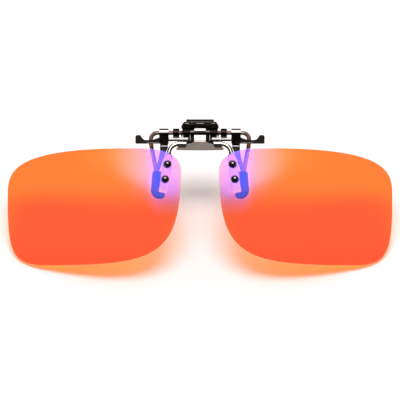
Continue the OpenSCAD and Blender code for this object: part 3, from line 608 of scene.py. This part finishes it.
def make_lens_arms():
    """Round wire out of the ferrule, bent down, then pressed flat into the riveted foot."""
    through = Vector((0, 1, 0))
    corner = Vector((ARM_TURN, ARM_Y + 0.32, ARM_Z))
    neck = Vector((ARM_TURN + (ARM_Z - ARM_NECK) * ARM_SLOPE, ARM_Y, ARM_NECK))
    wire = bent([(ARM_START, ARM_Y, ARM_Z), corner, neck], [ARM_BEND], steps=14)
    wire.insert(1, Vector((7.0, ARM_Y + 0.12, ARM_Z)))
    rings = [section(middle, through.cross(heading) * ARM_R, through * ARM_R, ARM_R, 5)
             for middle, heading in zip(wire, headings(wire))]
    # Places along the foot from the middle of the rivets, and how flat the wire is there
    foot = FOOT_LEN - FOOT_UP
    flats = [(-7.0, 0.0), (-6.6, 0.08), (-6.1, 0.25), (-5.6, 0.5), (-5.1, 0.75), (-4.6, 0.92),
             (-4.1, 1.0), (-2.0, 1.0), (0.0, 1.0), (2.0, 1.0), (4.0, 1.0), (6.0, 1.0),
             (foot - 0.25, 1.0)]
    for place, flat in flats:
        p = RIVETS_MIDDLE + RIVETS_DOWN * place
        x = along(neck.x + (neck.z - p.z) * ARM_SLOPE, p.x, min(1, flat * 1.2))
        out = lens_normal(x, p.z)
        y = along(ARM_Y, sphere_y(x, p.z, BACK_R) + FOOT_T / 2 + 0.01, flat ** 0.8)
        wide, thin = along(ARM_R, FOOT_HALF, flat), along(ARM_R, FOOT_T / 2, flat ** 0.6)
        rings.append(section(Vector((x, y, p.z)), -out.cross(RIVETS_DOWN).normalized() * wide,
                             -out * thin, along(ARM_R, 0.14, flat), 5))
    end = RIVETS_MIDDLE + RIVETS_DOWN * foot
    out = lens_normal(end.x, end.z)
    end.y = sphere_y(end.x, end.z, BACK_R) + FOOT_T / 2 + 0.01
    rings.append(section(end, -out.cross(RIVETS_DOWN).normalized() * (FOOT_HALF - 0.3),
                         -out * (FOOT_T / 2 - 0.1), 0.1, 5))
    dress_pair(skin(rings), "arm_wire", "flip_unit", drawn_nickel, "lens_arm",
               smooth=50)


def make_ferrules():
    """Short tube with a rolled groove, welded under its length to the bridge."""
    start, end, radius, bore = 4.7, 7.8, 1.05, ARM_R + 0.02
    profile = [(start, bore), (start, radius - 0.14), (start + 0.04, radius - 0.04),
               (start + 0.14, radius), (start + 0.55, radius), (start + 0.62, radius - 0.05),
               (start + 0.72, radius - 0.05), (start + 0.79, radius), (end - 0.45, radius),
               (end - 0.14, radius), (end - 0.04, radius - 0.04), (end, radius - 0.14),
               (end, bore), (start, bore)]
    tube = turned_on_axle(profile, (-0.6, -3.86))
    weld = side_sheet(rounded([(-1.0, -5.15, 0), (-0.2, -5.15, 0), (-0.2, -4.9, 0.1),
                               (-0.02, -4.3, 0.1), (-0.3, -4.75, 0), (-0.9, -4.75, 0),
                               (-1.18, -4.3, 0.1), (-1.0, -4.9, 0.1)], 3),
                      start + 0.15, end - 0.15)
    dress_pair(join(tube, weld), "ferrule_tube", "flip_unit", bright_nickel,
               "ferrule")


# Flip bridge

def clipped(points, direction, limit):
    """Points moved back to a straight flat across their direction."""
    kept = []
    for y, z in points:
        over = max(0.0, y * direction[0] + z * direction[1] - limit)
        kept.append((y - direction[0] * over, z - direction[1] * over))
    return kept


def make_flip_bridge():
    """Gunmetal plate with two wings, and two rolled ears on the axle with their detent flats."""
    half = [(3.35, -2.7, 0.15), (3.75, -3.5, 0.4), (4.74, -3.7, 0.2), (4.74, -5.05, 0.1),
            (8.2, -5.05, 0.2), (8.2, -6.0, 0.4), (2.0, -6.1, 2.0)]
    plate = front_sheet(rounded(mirrored(half)), -1.2, 0.2)
    rolled = rounded([(-1.0, -2.7, 0.45), (-0.2, -2.7, 0.15), (-0.2, -6.3, 0), (-1.0, -6.3, 0)], 7)
    plate = combine(plate, side_sheet(rolled, -9, 9), "INTERSECT")
    # The detent leaves press on one flat of each ear with the lenses down, and on one when up
    ear_r, flat, flip = 1.45, 1.3, math.radians(100)
    eye = clipped(arc((0, 0), ear_r, -58, 224, 40), (1, 0), flat)
    eye = clipped(eye, (math.cos(flip), math.sin(flip)), flat)
    ear = [(-1.0, -3.3), (-0.25, -3.3), (0.1, -2.95), (0.55, -2.2)] + eye
    for side in (1, -1):
        plate = combine(plate, side_sheet(ear, side * 2.0, side * 3.35), "UNION")
    plate = soften(bored(plate, -4, 4, TURNING_HOLE), 0.13)
    gusset = [(2.7, -2.5, 0.1), (4.3, -2.5, 0.3), (4.74, -2.9, 0.2), (4.74, -3.9, 0.1),
              (2.7, -3.5, 0.2)]
    for side in (1, -1):
        web = front_sheet(rounded([(side * x, z, r) for x, z, r in gusset]), -1.07, -0.6)
        plate = join(plate, soften(web, 0.06))
    dress(plate, "bridge_plate", "flip_unit", gunmetal, ["flip_bridge"])
    # The rolled ears and the fronts of their gussets get the oil-blackened finish, blacker than the
    # plate: painted shade
    second_finish(plate, oil_black,
                  lambda c: c.z > AXLE_Z - 2.75 and abs(c.x) < 3.4 or c.y < AXLE_Y - 1.01)


# Front clamp

def pressed_rib(x, z, half_width, half_height, layers, taper=1.0, corner=0.3, steps=5):
    """A low rounded rib on a tab, in layers of depth and how far each is drawn in."""
    return skin([section(Vector(at_axle(x, depth, z)), Vector((half_width - less, 0, 0)),
                         Vector((0, 0, half_height - less * taper)), corner, steps)
                 for depth, less in layers])


def make_front_plate():
    """One stamping: finger tab, shelf over the springs, two webs and a strip to each knuckle."""
    half = [(3.45, 1.65, 0.1), (3.45, -2.7, 0.1), (KNUCKLE_OUT, -2.7, 0), (KNUCKLE_OUT, -1.65, 0),
            (5.9, -1.65, 0.4), (5.9, 1.07, 0.4), (6.48, 1.65, 0.2), (6.48, 2.3, 0.9),
            (5.6, 3.9, 0.9)]
    cut = front_sheet(rounded(mirrored(half)), -3, 3)
    fold = rounded([(-1.5, 3.9, 0.12), (-1.5, 1.65, 0.9), (1.5, 1.65, 0.25), (1.5, -2.7, 0),
                    (2.0, -2.7, 0), (2.0, 2.3, 0.75), (-0.8, 2.3, 0.25), (-0.8, 3.9, 0.12)], 7)
    plate = soften(combine(side_sheet(fold, -15, 15), cut, "INTERSECT"), 0.09)
    layers = [(-1.45, 0), (-1.58, 0.02), (-1.67, 0.09), (-1.72, 0.2)]
    ribs = [pressed_rib(x, 3.1, width / 2, 0.31, layers)
            for x, width in ((0, 3.0), (-4.5, 1.8), (4.5, 1.8))]
    plate = join(plate, *ribs)
    dress(plate, "stamped_plate", "front_clamp", black_nickel, ["front_plate"])


def make_strip_crowns():
    """The front of a strip: a polished crown whose upper half looks at the light. Its bright
    nickel, lighter than the plate, is a painted highlight, and its lower faces are darkened as
    painted shade.
    """
    crown = [(1.55, -1.5), (1.36, -1.5), (1.29, -1.54), (1.27, -1.62), (1.24, -1.95),
             (1.21, -2.36), (1.23, -2.42), (1.36, -2.77), (1.42, -2.83), (1.55, -2.86)]
    under = AXLE_Z - 2.37
    for piece in dress_pair(side_sheet(crown, 4.15, 10.86), "strip_crown_painted_highlight", "front_clamp",
                            bright_nickel, "front_plate", smooth=60, one_node=True):
        # Faces under the crown's ridge get the oil-blackened finish: painted shade
        second_finish(piece, oil_black, lambda c: c.z < under)


def make_knuckles():
    """Strip rolled over the axle into an eye, on a squared block."""
    side = [(EYE_R, KNUCKLE_FOOT)] + arc((0, 0), EYE_R, 0, 204, 30) + [(-1.2, KNUCKLE_FOOT)]
    block = bored(side_sheet(side, KNUCKLE_IN, KNUCKLE_OUT), 10, 15, TURNING_HOLE)
    soften(block, 0.12)
    for piece in dress_pair(block, "rolled_knuckle", "front_clamp", polished_black,
                            "knuckle"):
        # Below the axle the knuckle gets the darker black nickel: painted shade under its lighter
        # eye
        second_finish(piece, black_nickel, lambda c: c.z < AXLE_Z - 0.2)


def make_rest_bars():
    """Bar that lies on the spectacles' top rim, with a thumb-shaped end and a turned lower lip."""
    foot = KNUCKLE_FOOT
    bar = front_sheet(rounded([(KNUCKLE_OUT, foot, 0), (22.0, foot, 0.3), (22.0, -2.5, 0.3),
                               (16.65, -2.5, 0.9), (KNUCKLE_OUT, -1.6, 0)]), -0.95, -0.15)
    thumb = front_sheet(rounded([(18.5, foot, 0.2), (22.4, foot, 0.4), (22.4, -0.75, 0.75),
                                 (20.7, -0.75, 0.75), (19.6, -2.5, 1.75), (18.5, -2.5, 0.2)], 8),
                        -1.3, 0.2)
    lip = side_sheet([(-1.0, foot), (-0.1, foot), (-0.1, -3.2), (-0.94, -3.2), (-1.12, -3.36),
                      (-1.2, -3.52), (-1.16, -3.66)], KNUCKLE_OUT, 21.6)
    bar = combine(combine(bar, thumb, "UNION"), lip, "UNION")
    soften(bar, 0.1)
    dress_pair(bar, "rim_rest", "front_clamp", black_nickel, "rest_bar")


def make_front_legs():
    """Flat spring strip: out of the knuckle, bowed in front of the rim, and into its sleeve. It is
    wide at the shoulder, where it clears the lens arm, and tapers below the waist."""
    shoulder, waist, sleeve_end = 13.0, 11.7, 5.0
    clear, front, back, half_thick = -2.97, -3.1, -1.25, 0.35
    side = bent([(0, -2.4, 14.65), (0, clear, 13.45), (0, clear, shoulder), (0, clear, waist),
                 (0, front, 8.2), (0, back, 5.85), (0, back, 4.7)], [0.5, 0, 0, 1.2, 1.2], steps=6)
    rings = []
    for point, heading in zip(side, headings(side)):
        if point.z > waist:
            outer = 13.88
            inner = along(11.75, 11.1, min(1, (point.z - waist) / (shoulder - waist)))
        else:
            fall = (waist - point.z) / (waist - sleeve_end)
            middle, width = along(12.82, 14.85, fall), max(1.4, along(2.13, 1.0, fall))
            outer, inner = middle + width / 2, middle - width / 2
        through = Vector((1, 0, 0)).cross(heading)
        rings.append(section(Vector(((outer + inner) / 2, point.y, point.z)),
                             Vector(((outer - inner) / 2, 0, 0)), through * half_thick, 0.1, 3))
    for piece in dress_pair(skin(rings), "leaf_leg", "front_clamp", leg_black,
                            "front_leg", smooth=40):
        # Under the knuckle it gets the darker black nickel: painted shade
        second_finish(piece, black_nickel, lambda c: 12.0 < c.z < 13.25)


def make_front_sleeves():
    """Soft sleeve on the front leg: open at the top, closed and rounded at the bottom."""
    lean, length = math.radians(7.7), 7.35
    top, through = Vector((14.87, -1.25, 4.85)), Vector((0, 1, 0))
    down = Vector((math.sin(lean), 0, -math.cos(lean)))
    across = Vector((math.cos(lean), 0, math.sin(lean)))
    # Down the sleeve: half its width, half its thickness and its corners
    steps = [(0.5, 0.74, 0.39, 0.1), (0.02, 0.74, 0.39, 0.1), (0.0, 1.1, 0.85, 0.5),
             (0.08, 1.27, 1.02, 0.7), (0.25, 1.35, 1.1, 0.8), (0.75, 1.35, 1.1, 0.8),
             (0.95, 1.29, 1.04, 0.76), (1.15, 1.29, 1.04, 0.76), (1.35, 1.35, 1.1, 0.8),
             (3.5, 1.35, 1.1, 0.8), (length - 0.3, 1.35, 1.1, 0.8),
             (length - 0.12, 1.32, 1.07, 0.77), (length - 0.03, 1.24, 0.99, 0.7),
             (length, 1.1, 0.85, 0.6)]
    rings = [section(top + down * s, across * a, through * b, corner, 5)
             for s, a, b, corner in steps]
    dress_pair(skin(rings), "front_pad", "front_clamp", rubber, "front_sleeve",
               smooth=60)


def make_springs():
    """Torsion spring: a leg on the web, nearly three turns round the axle, a leg on the lever."""
    wire_r, coil_r, start, pitch, steps = 0.225, 1.155, 3.775, 0.92, 84
    # The last leg leaves the coil on a tangent and ends on the lever, behind and below the axle
    seat, low = 2.655, 0.3
    last = (360 - math.degrees(math.atan(low / seat))
            - math.degrees(math.acos(coil_r / math.hypot(seat, low))))
    whole = 720 + last
    path = [Vector(at_axle(start, coil_r, -2.175)), Vector(at_axle(start, coil_r, -0.7))]
    for i in range(steps + 1):
        turn = math.radians(whole * i / steps)
        path.append(Vector(at_axle(start + pitch * turn / math.tau, coil_r * math.cos(turn),
                                   coil_r * math.sin(turn))))
    path.append(Vector(at_axle(start + pitch * whole / 360, seat, -low)))
    spring = skin(round_rings(path, [wire_r] * len(path), sides=12))
    dress_pair(spring, "torsion_coil", "front_clamp", oil_black, "torsion_spring",
               smooth=60)


# Rear jaw

def slope_x(z):
    """How far out a rear leg is at a height."""
    return LEG_X - LEG_LEAN * max(0.0, LEG_TURN - z)


def hook_points():
    """The left rear leg's pad: its start and direction, the hook's corner, end and direction."""
    start = Vector((slope_x(PAD_UP), PAD_BACK, PAD_UP))
    down = Vector((HOOK_LEAN, 0, -1)).normalized()
    turn = math.radians(HOOK_TURN)
    end_way = Vector((down.x * math.cos(turn) + down.z * math.sin(turn), 0,
                      down.z * math.cos(turn) - down.x * math.sin(turn)))
    cut = HOOK_R * math.tan(turn / 2)
    corner = Vector((start.x + HOOK_LEAN * (start.z - HOOK_Z), PAD_BACK, HOOK_Z)) + down * cut
    return start, down, corner, corner + end_way * (cut + HOOK_TAIL), end_way


def make_axle_wire():
    """One round wire: axle in the middle, both rear legs and their hooked ends."""
    start, _, corner, end, _ = hook_points()
    left = [end, corner, start, Vector((slope_x(KNEE_UP), RIM_BACK, KNEE_UP)),
            Vector((slope_x(RIM_TOP), RIM_BACK, RIM_TOP)), Vector((LEG_X, NECK_BACK, NECK_UP)),
            Vector((LEG_X, AXLE_Y, AXLE_Z))]
    radii = [HOOK_R] + [LEG_BEND] * 4 + [AXLE_BEND]
    right = [Vector((-p.x, p.y, p.z)) for p in reversed(left)]
    path = bent(left + right, radii + radii[::-1], steps=12)
    wire = skin(round_rings(path, [WIRE_R] * len(path), sides=28))
    dress(wire, "bent_wire", "rear_jaw", brown_wire, ["axle_wire"], smooth=60)
    # Below the rest bars the legs get the lighter leg finish, painted light. The change of finish
    # is hidden behind the rest bars
    second_finish(wire, leg_wire, lambda c: c.z < 15.0)


def make_rear_sleeves():
    """Soft tube on the rear leg, pushed round the hook, with a closed round end."""
    _, down, corner, end, end_way = hook_points()
    top = corner + down * (REAR_SLEEVE_TOP - corner.z) / down.z
    r, sides, cap = REAR_SLEEVE_R, 28, 8
    # Down the sleeve: its radius, from the hole in its top over the lip and one groove
    lip = [(0.6, 0.745), (0.02, 0.745), (0.0, 1.15), (0.06, 1.28), (0.2, r), (0.7, r),
           (0.9, r - 0.06), (1.1, r - 0.06), (1.3, r)]
    bend = bent([top, corner, end], [HOOK_R], steps=16)[1:]
    path = [top + down * s for s, _ in lip] + bend
    radii = [radius for _, radius in lip] + [r] * len(bend)
    for i in range(1, cap + 1):
        turn = math.radians(90 * i / cap)
        path.append(end + end_way * r * math.sin(turn))
        radii.append(r * math.cos(turn))
    ways = headings(path)
    ways[:len(lip)] = [down] * len(lip)
    ways[-cap - 1:] = [end_way] * (cap + 1)
    through = Vector((0, 1, 0))
    turns = [math.radians(360 * k / sides) for k in range(sides)]
    rings = []
    for middle, way, radius in zip(path, ways, radii):
        side = through.cross(way)
        rings.append([middle + (side * math.cos(t) + through * math.sin(t)) * radius
                      for t in turns])
    dress_pair(skin(rings), "rear_pad", "rear_jaw", rubber, "rear_sleeve", smooth=60)


def make_rear_lever():
    """Finger tab behind the front one, a strip along the axle and two rolled collars."""
    collar_in, collar_out = 7.2, 9.35
    half = [(collar_out, -0.65, 0.1), (collar_out, 0.65, 0.1), (6.48, 0.65, 0.9), (4.2, 3.3, 0.9),
            (4.85, 3.95, 0.3), (4.85, 4.8, 0.4)]
    plate = front_sheet(rounded(mirrored(half)), 2.9, 3.6)
    window = front_sheet(rounded([(-2, 0.65, 0.4), (2, 0.65, 0.4), (2, 1.65, 0.4),
                                  (-2, 1.65, 0.4)]), 2, 4.5)
    plate = combine(plate, window, "DIFFERENCE")
    tongue = arc((0, 0), EYE_R, 26, 334, 44) + [(3.2, -0.64), (3.2, 0.64)]
    for side in (1, -1):
        plate = combine(plate, side_sheet(tongue, side * collar_in, side * collar_out), "UNION")
    plate = soften(bored(plate, -11, 11, COLLAR_HOLE), 0.1)
    layers = [(3.5, 0), (3.66, 0.02), (3.74, 0.1), (3.77, 0.2)]
    ridges = [pressed_rib(0, z, 3.1, 0.21, layers, taper=0.8, corner=0.2, steps=4)
              for z in (2.35, 3.05, 3.75)]
    plate = join(plate, *ridges)
    dress(plate, "lever_plate", "rear_jaw", oil_black, ["rear_lever"])
    second_finish(plate, collar_black,
                  lambda c: abs(c.x) > collar_in - 0.1 and c.y < AXLE_Y + 2.5)


for make in (make_lenses, make_rivets, make_lens_arms, make_ferrules, make_flip_bridge,
             make_front_plate, make_strip_crowns, make_knuckles, make_rest_bars, make_front_legs,
             make_front_sleeves, make_springs, make_axle_wire, make_rear_sleeves, make_rear_lever):
    make()

# The detent leaves keep their solids and get the spring's finish
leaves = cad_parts["detent_leaves"]
leaves.data.materials.clear()
leaves.data.materials.append(oil_black)


# Stage, light and camera

def one_sided(name, colour):
    """Matt paper, seen from its front only, so that the clip shows from behind too."""
    made, tree = new_material(name)
    paper = add(tree, "ShaderNodeBsdfDiffuse", {"Color": rgb(colour)})
    clear = add(tree, "ShaderNodeBsdfTransparent")
    behind = add(tree, "ShaderNodeNewGeometry").outputs["Backfacing"]
    surface = add(tree, "ShaderNodeMixShader",
                  {0: behind, 1: paper.outputs["BSDF"], 2: clear.outputs["BSDF"]})
    add(tree, "ShaderNodeOutputMaterial", {"Surface": surface.outputs["Shader"]})
    return made


def make_stage():
    """White board that leans away behind the lenses, bowed so that it is nearer at the temples,
    and runs out to a floor below the view."""
    low, high, floor_end, reach = -84, 300, -900, 700
    bow, bow_reach, bow_steps = 15, 100, 20
    behind, at_height, lean = 2.7, -32, 0.56

    def board_y(z):
        return behind + (z - at_height) * lean

    side = bent([(0, floor_end, low), (0, board_y(low), low), (0, board_y(high), high)], [30],
                steps=12)
    bowed = [bow_reach * i / bow_steps for i in range(-bow_steps, bow_steps + 1)]
    across = [-reach] + bowed + [reach]
    bpy.ops.object.select_all(action="DESELECT")
    bpy.ops.mesh.primitive_grid_add(x_subdivisions=len(across) - 1, y_subdivisions=len(side) - 1,
                                    size=MM)
    board = bpy.context.object
    order = sorted(board.data.vertices, key=lambda v: (round(v.co.y * 1e6), v.co.x))
    for i, point in enumerate(side):
        for vertex, x in zip(order[len(across) * i:], across):
            turn = math.pi * min(1, abs(x) / bow_reach)
            vertex.co = Vector((x, point.y - bow * (1 - math.cos(turn)) / 2, point.z)) * MM
    board.name = "board_and_floor"
    board.data.materials.append(one_sided("matt_white_paper", "#fafafa"))
    select_only(board)
    bpy.ops.object.shade_smooth()
    # The room's light, not the board's, lights the clip
    board.visible_glossy = board.visible_diffuse = False


# The room over the clip: turns from the camera at 0 through overhead at 0.5, and strengths
ROOM = [(0.0, 0.02), (0.02, 0.02), (0.045, 1.3), (0.1, 2.0), (0.38, 2.0), (0.46, 0.25),
        (0.6, 0.06), (0.86, 0.05)]


def make_world():
    """Seen directly, through a lens or in its polish it is white. Metal reflects a soft box over
    the camera, weak walls at the sides and a dim table. Matt things get light from above."""
    world = bpy.data.worlds.new("studio")
    bpy.context.scene.world = world
    world.use_nodes = True
    tree = world.node_tree
    tree.nodes.clear()
    way = add(tree, "ShaderNodeTexCoord").outputs["Generated"]
    x, y, z = add(tree, "ShaderNodeSeparateXYZ", {"Vector": way}).outputs
    front = add(tree, "ShaderNodeMath", {0: y, 1: -1.0}, operation="MULTIPLY").outputs[0]
    turn = add(tree, "ShaderNodeMath", {0: z, 1: front}, operation="ARCTAN2").outputs[0]
    turn = add(tree, "ShaderNodeMath", {0: turn, 1: math.pi}, operation="DIVIDE").outputs[0]
    brightest = max(strength for _, strength in ROOM)
    over = add(tree, "ShaderNodeValToRGB", {"Fac": turn},
               stops=[(t, level(strength / brightest)) for t, strength in ROOM]).outputs["Color"]
    over = add(tree, "ShaderNodeMath", {0: over, 1: brightest}, operation="MULTIPLY").outputs[0]
    table = add(tree, "ShaderNodeMapRange", {"Value": z, "From Min": -0.25, "From Max": -0.6,
                                             "To Min": 0.01, "To Max": 0.04}).outputs[0]
    below = add(tree, "ShaderNodeMath", {0: z, 1: 0.0}, operation="LESS_THAN").outputs[0]
    room = add(tree, "ShaderNodeMix", {"Factor": below, "A": over, "B": table}).outputs[0]
    sideways = add(tree, "ShaderNodeMath", {0: x}, operation="ABSOLUTE").outputs[0]
    wall = add(tree, "ShaderNodeMapRange", {"Value": sideways, "From Min": 0.3, "From Max": 0.52},
               interpolation_type="SMOOTHSTEP").outputs[0]
    room = add(tree, "ShaderNodeMix", {"Factor": wall, "A": room, "B": 0.07}).outputs[0]
    fill = add(tree, "ShaderNodeMapRange", {"Value": z, "From Min": 0.25, "From Max": 0.6,
                                            "To Min": 0.0, "To Max": 1.0}).outputs[0]
    rays = add(tree, "ShaderNodeLightPath").outputs
    light = add(tree, "ShaderNodeMix",
                {"Factor": rays["Is Glossy Ray"], "A": fill, "B": room}).outputs[0]
    straight = add(tree, "ShaderNodeMath",
                   {0: rays["Is Transmission Ray"], 1: rays["Is Singular Ray"]},
                   operation="MAXIMUM").outputs[0]
    first = add(tree, "ShaderNodeMath", {0: rays["Diffuse Depth"], 1: 0.5},
                operation="LESS_THAN").outputs[0]
    straight = add(tree, "ShaderNodeMath", {0: straight, 1: first}, operation="MULTIPLY").outputs[0]
    seen = add(tree, "ShaderNodeMath", {0: rays["Is Camera Ray"], 1: straight},
               operation="MAXIMUM").outputs[0]
    power = add(tree, "ShaderNodeMix", {"Factor": seen, "A": light, "B": 1.0}).outputs[0]
    back = add(tree, "ShaderNodeBackground", {"Color": rgb("#ffffff"), "Strength": power})
    add(tree, "ShaderNodeOutputWorld", {"Surface": back.outputs["Background"]})


def make_lamp():
    """One wide soft lamp above the camera. It throws the orange light down behind the lenses."""
    distance, rise, width, height, watts = 1.5, math.radians(42), 1.35, 0.56, 17
    bpy.ops.object.light_add(type="AREA")
    lamp = bpy.context.object
    lamp.data.shape, lamp.data.size, lamp.data.size_y = "ELLIPSE", width, height
    lamp.data.energy = watts
    lamp.visible_transmission = False
    lamp.location = (0, -distance * math.cos(rise), distance * math.sin(rise))
    lamp.rotation_euler = (math.radians(90) - rise, 0, 0)


def make_camera():
    """The photograph's view: level, square on, from far."""
    distance, height, focal = 0.905, -0.0052, 233.8
    bpy.ops.object.camera_add(location=(0, -distance, height), rotation=(math.radians(90), 0, 0))
    camera = bpy.context.object
    camera.data.sensor_width, camera.data.lens = 36, focal
    camera.data.clip_start, camera.data.clip_end = 0.01, 20
    bpy.context.scene.camera = camera


make_stage()
make_world()
make_lamp()
make_camera()
bpy.context.scene.view_settings.view_transform = "Standard"

bpy.context.view_layer.update()
